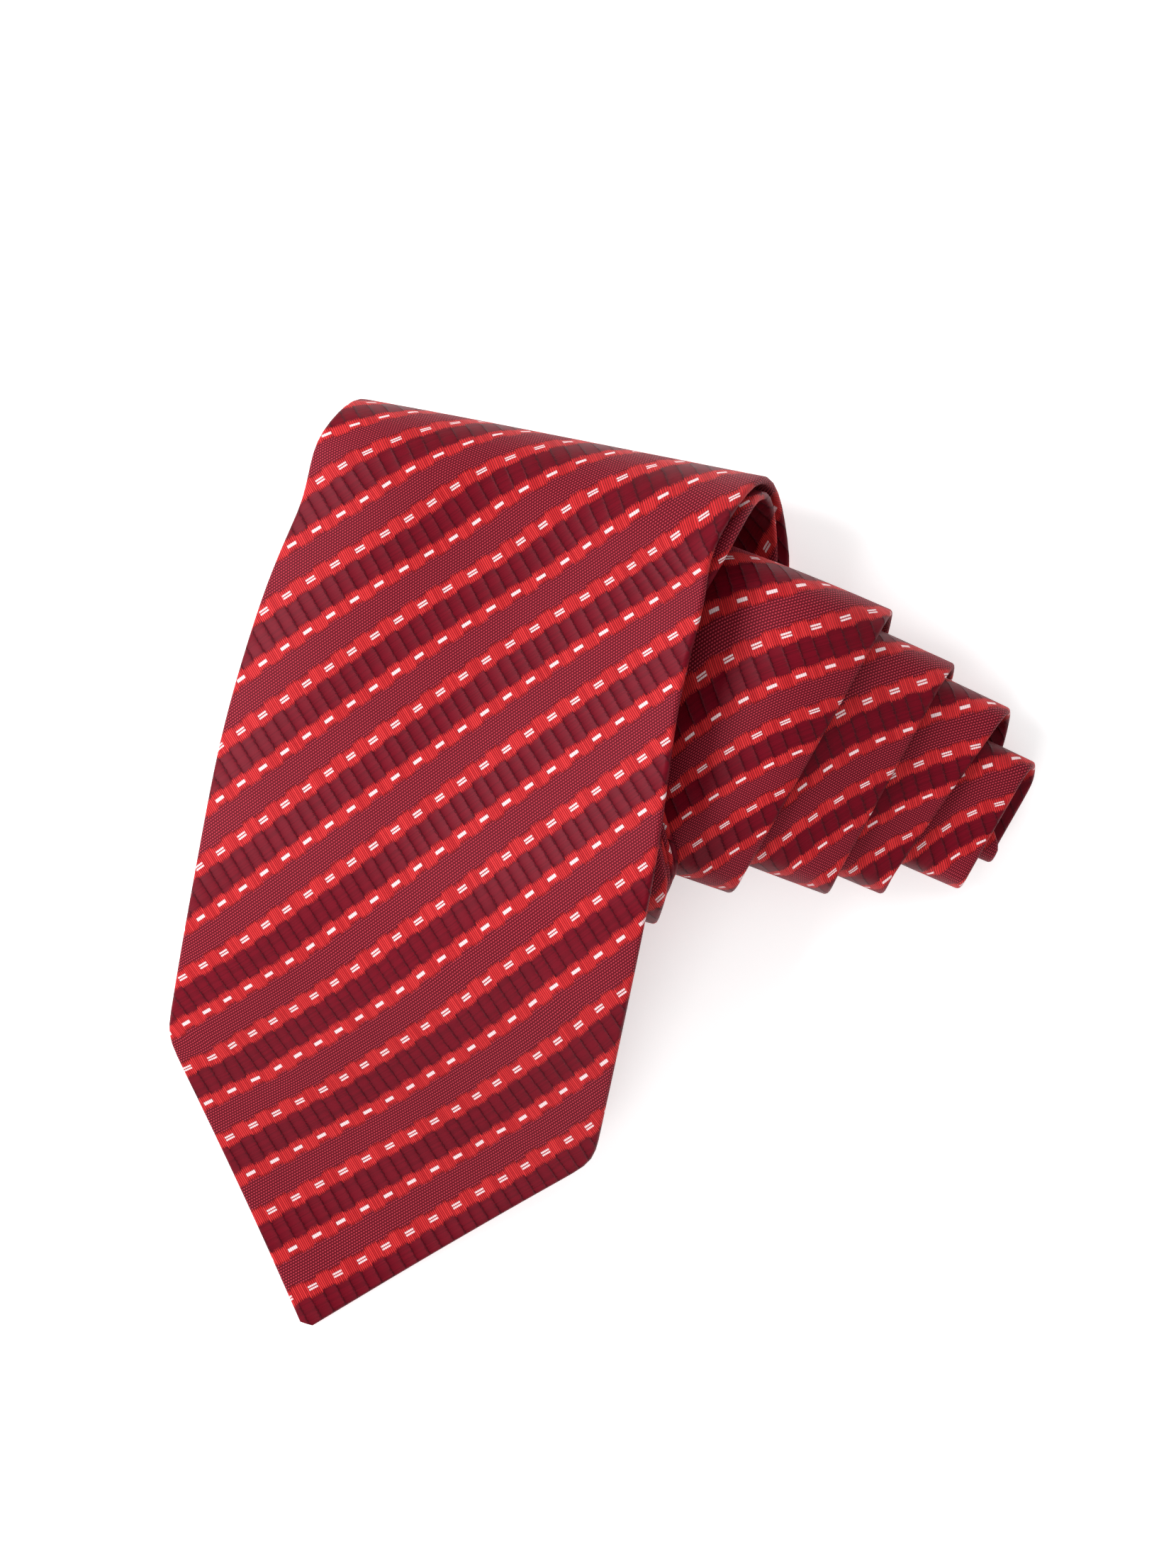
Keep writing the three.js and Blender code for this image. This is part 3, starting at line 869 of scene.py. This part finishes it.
tipping_section = flat_section(tipping_half, -LINING / 2 - 0.08, -LINING / 2 - 0.25, 13)
linings = [
    ("blade_tipping_lining", 9, V_TOP, "blade_tipping", on_tip),
    ("tail_tipping_lining", LENGTH - TAIL_POINT - 3, LENGTH - 4, "tail_tipping", on_roll),
]
for name, s0, s1, node, attach in linings:
    piece = sweep(name, steps_between(s0, s1), tipping_section, lining)
    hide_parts(node)
    attach(piece)
    declare(piece, s0, s1, lambda half, s: 2 * tipping_half(half, s), "folded", ["blade_tip_cloth"])


# ---- labels and keeper, under the blade ----
BACK = -PLY / 2


def label(name, span, half_width, material, node, attach):
    section = flat_section(lambda half, s: half_width, BACK - 0.06, BACK - 0.26, 15)
    piece = sweep(name, steps_between(*span, 1.0), section, material)
    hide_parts(node)
    attach(piece)
    return piece


CARE_HALF = 8.5
MAKER_HALF = 15
KEEPER_HALF = 22


def flat_on_blade(piece):
    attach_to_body(piece, "blade")


care = label(
    "care_label_cloth", CARE_LABEL, CARE_HALF, care_cloth, "care_label", flat_on_blade
)
maker = label(
    "maker_label_cloth", MAKER_LABEL, MAKER_HALF, label_cloth, "maker_label", on_blade
)
declare(care, *CARE_LABEL, lambda half, s: 2 * CARE_HALF, "laid", ["blade_tip_cloth"])
declare(maker, *MAKER_LABEL, lambda half, s: 2 * MAKER_HALF, "laid", ["blade_cloth"])


def keeper_section(half, s):
    """A folded band: its ends lie on the blade's back, and its middle stands a little off."""
    a = np.linspace(-KEEPER_HALF, KEEPER_HALF, 31)
    off = 0.9 * smooth_fall((np.abs(a) - 9) / 9) + 0.1
    edge = min(s - KEEPER[0], KEEPER[1] - s)
    half_thick = 0.35 * math.sqrt(max(0.05, 1 - (1 - min(edge, 0.6) / 0.6) ** 2))
    middle = BACK - off - 0.35
    ring = np.concatenate([a, a[::-1]])
    n = np.concatenate([middle + half_thick, (middle - half_thick)[::-1]])
    return ring, n, ring + 3


hem = np.array([0, 0.12, 0.3, 0.6])
keeper_steps = np.concatenate(
    [KEEPER[0] + hem, np.linspace(*KEEPER, 9)[1:-1], KEEPER[1] - hem[::-1]]
)
keeper = sweep("keeper_band", keeper_steps, keeper_section, silk)
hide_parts("keeper_loop")
on_blade(keeper)
declare(keeper, *KEEPER, lambda half, s: 2 * KEEPER_HALF, "stretched", ["blade_cloth"])


# ---- threads ----
def tube(path, radius, sides=6):
    """Vertices, faces and uv of a tube along a path of points."""
    path = np.asarray(path, float)
    onward = np.gradient(path, axis=0)
    onward /= np.linalg.norm(onward, axis=1, keepdims=True)
    guide = np.array([0.0, 0.0, 1.0])
    side = np.cross(onward, guide)
    weak = np.linalg.norm(side, axis=1) < 0.2
    side[weak] = np.cross(onward[weak], np.array([1.0, 0.0, 0.0]))
    side /= np.linalg.norm(side, axis=1, keepdims=True)
    up = np.cross(side, onward)
    angles = np.arange(sides) * 2 * math.pi / sides
    ring = [path + radius * (math.cos(t) * side + math.sin(t) * up) for t in angles]
    vertices = np.stack(ring, axis=1).reshape(-1, 3)
    run = np.concatenate([[0], np.cumsum(np.linalg.norm(np.diff(path, axis=0), axis=1))])
    uv = np.column_stack([np.tile(angles * radius, len(path)), np.repeat(run, sides)])
    faces = []
    for i in range(len(path) - 1):
        for j in range(sides):
            k = (j + 1) % sides
            faces.append((i * sides + j, i * sides + k, (i + 1) * sides + k, (i + 1) * sides + j))
    last = (len(path) - 1) * sides
    faces.append(tuple(range(sides))[::-1])
    faces.append(tuple(last + j for j in range(sides)))
    return vertices, faces, uv


def thread_piece(name, paths, radius, node, attach):
    vertices, faces, uv = [], [], []
    for path in paths:
        v, f, t = tube(path, radius)
        base = sum(len(x) for x in vertices)
        vertices.append(v)
        uv.append(t)
        faces.extend(tuple(base + i for i in face) for face in f)
    piece = new_piece(name, np.concatenate(vertices), faces, np.concatenate(uv), thread)
    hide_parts(node)
    attach(piece)
    return piece


def slip_stitch(s0, s1):
    """One long stitch each way across the seam, over and over."""
    corners = np.arange(s0, s1, 4.0)
    sides = np.where(np.arange(len(corners)) % 2 == 0, -0.9, 0.9)
    s = np.arange(s0, corners[-1], 0.8)
    a = np.interp(s, corners, sides)
    return points_on(s, a, np.full(len(s), BACK - 0.08))


blade_stitch = slip_stitch(TIP_SPLIT, ROLL_SPLIT)
rolled_stitch = slip_stitch(ROLL_SPLIT, LENGTH - TAIL_POINT - 7)
tip_stitch = slip_stitch(V_TOP + 1, TIP_SPLIT)
thread_piece("slip_stitch_blade_thread", [blade_stitch], 0.13, "slip_stitch_blade", on_blade)
thread_piece("slip_stitch_rolled_thread", [rolled_stitch], 0.13, "slip_stitch_rolled", on_roll)


def bar_tack(s, half_length, strands=7, pitch=0.34):
    paths = []
    for k in range(strands):
        a = np.linspace(-half_length, half_length, 13)
        arch = BACK - 0.1 - 0.22 * (1 - (a / half_length) ** 6)
        paths.append(points_on(np.full(13, s + (k - strands / 2) * pitch), a, arch))
    return paths


tacks = bar_tack(BAR_TACK, 4.0)
thread_piece("blade_bar_tack_thread", [*tacks, tip_stitch], 0.16, "blade_bar_tack", on_tip)
tail_tacks = bar_tack(LENGTH - TAIL_POINT - 5, 2.6, 5)
thread_piece("tail_bar_tack_thread", tail_tacks, 0.13, "tail_bar_tack", on_roll)


def keeper_tack(side):
    """A row of short stitches that holds one end of the keeper."""
    paths = []
    for s in np.arange(KEEPER[0] + 1.5, KEEPER[1] - 1, 1.1):
        a = side * np.linspace(KEEPER_HALF - 2.2, KEEPER_HALF + 0.5, 7)
        n = np.array([-0.95, -1.0, -1.0, -1.0, -0.95, -0.5, -0.05]) + BACK
        paths.append(points_on(np.full(7, s), a, n))
    return paths


thread_piece("keeper_tack_left_thread", keeper_tack(-1), 0.14, "keeper_tack_left", on_blade)
thread_piece("keeper_tack_right_thread", keeper_tack(1), 0.14, "keeper_tack_right", on_blade)
